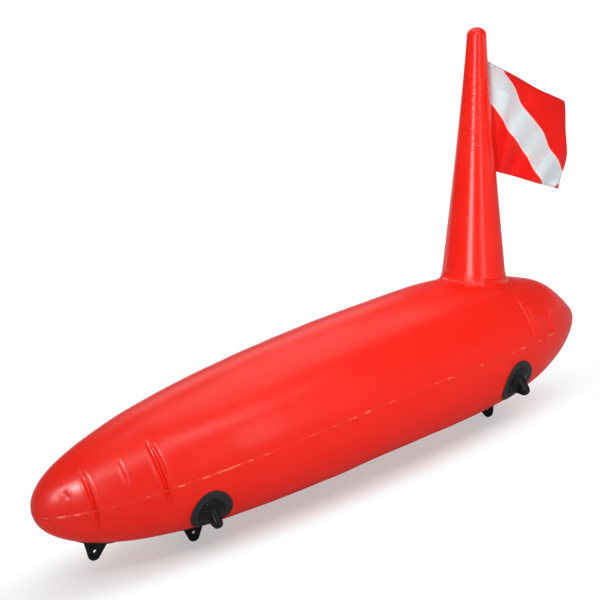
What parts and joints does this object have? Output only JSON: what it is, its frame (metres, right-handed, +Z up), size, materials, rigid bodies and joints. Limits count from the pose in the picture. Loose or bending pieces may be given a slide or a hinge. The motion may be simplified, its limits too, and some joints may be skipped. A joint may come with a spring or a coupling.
{
  "type": "dive flag float",
  "caption": "Torpedo-shaped inflatable surface float with a raised mast cone, a diver-down flag, an inflation valve and moulded tie-on lugs below.",
  "frame": {"origin": "on the ground under the middle of the hull, level with the lowest point of the keel lugs", "axes": "+X from the nose to the tail, +Z up, -Y to the port side"},
  "size_m": [0.9044, 0.2227, 0.5883],
  "materials": {
    "red_pvc": "glossy red PVC sheet",
    "flag_fabric": "thin coated red cloth with a white diagonal stripe",
    "black_pvc": "satin black moulded soft PVC",
    "valve_pvc": "satin dark soft PVC"
  },
  "bodies": {
    "float": {"hull_upper_panel": "red_pvc", "hull_lower_panel": "red_pvc", "mast_cone": "red_pvc", "mast_collar": "red_pvc", "mast_tip_cap": "red_pvc", "flag_hoist_tape": "red_pvc", "keel_nose_patch": "black_pvc", "keel_nose_lug": "black_pvc", "keel_front_patch": "black_pvc", "keel_front_lug": "black_pvc", "keel_rear_patch": "black_pvc", "keel_rear_lug": "black_pvc", "port_front_patch": "black_pvc", "port_front_lug": "black_pvc", "port_rear_patch": "black_pvc", "port_rear_lug": "black_pvc", "starboard_front_patch": "black_pvc", "starboard_front_lug": "black_pvc", "starboard_rear_patch": "black_pvc", "starboard_rear_lug": "black_pvc", "valve_body": "valve_pvc"},
    "flag": {"flag_cloth": "flag_fabric"},
    "valve_cap": {"valve_cap": "valve_pvc"},
    "valve_flap": {"valve_flap": "valve_pvc"}
  },
  "joints": [
    {"name": "flag_swing", "type": "hinge", "parent": "float", "child": "flag", "pos_m": [0.33974, 0, 0.37652], "axis": [0.1101, 0, 0.9939], "range_deg": [-15, 105], "stiffness_Nm_per_rad": 0.03},
    {"name": "valve_cap_hinge", "type": "hinge", "parent": "float", "child": "valve_cap", "pos_m": [0.10349, 0.09212, 0.20634], "axis": [0, 0.6157, -0.788], "range_deg": [0, 150]},
    {"name": "valve_flap_hinge", "type": "hinge", "parent": "float", "child": "valve_flap", "pos_m": [0.0968, 0.07935, 0.19637], "axis": [0, -0.6157, 0.788], "range_deg": [0, 60], "stiffness_Nm_per_rad": 0.002}
  ]
}
